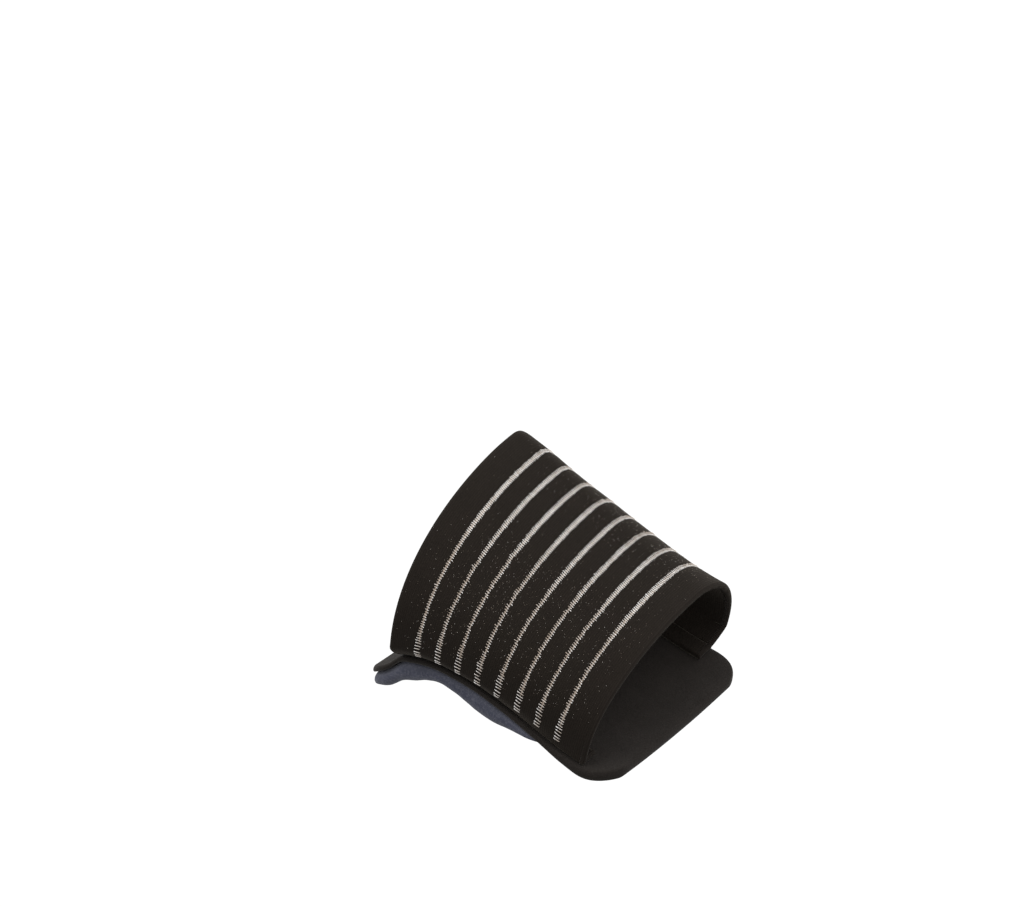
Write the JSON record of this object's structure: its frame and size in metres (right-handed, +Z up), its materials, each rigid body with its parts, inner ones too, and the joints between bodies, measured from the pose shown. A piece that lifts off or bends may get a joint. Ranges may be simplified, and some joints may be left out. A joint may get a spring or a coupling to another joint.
{
  "type": "arch support sleeve",
  "caption": "Ribbed elastic band sleeve for the midfoot, sewn to a soft cover layer with a contoured foam arch cushion underneath.",
  "frame": {"origin": "the point of the pad's upper side where the middle of the sole sits", "axes": "+X to the toes, +Y to the outer side of a left foot, +Z up out of the pad into the foot"},
  "size_m": [0.0834, 0.0846, 0.0639],
  "materials": {
    "band_knit": "matte black knitted elastic with pale ladder stripes",
    "cover_cloth": "matte black brushed cloth over thin foam",
    "cushion_cloth": "brushed slate blue cloth over foam"
  },
  "bodies": {
    "root": {"elastic_band": "band_knit", "pad_cover": "cover_cloth", "arch_cushion": "cushion_cloth"}
  },
  "joints": []
}
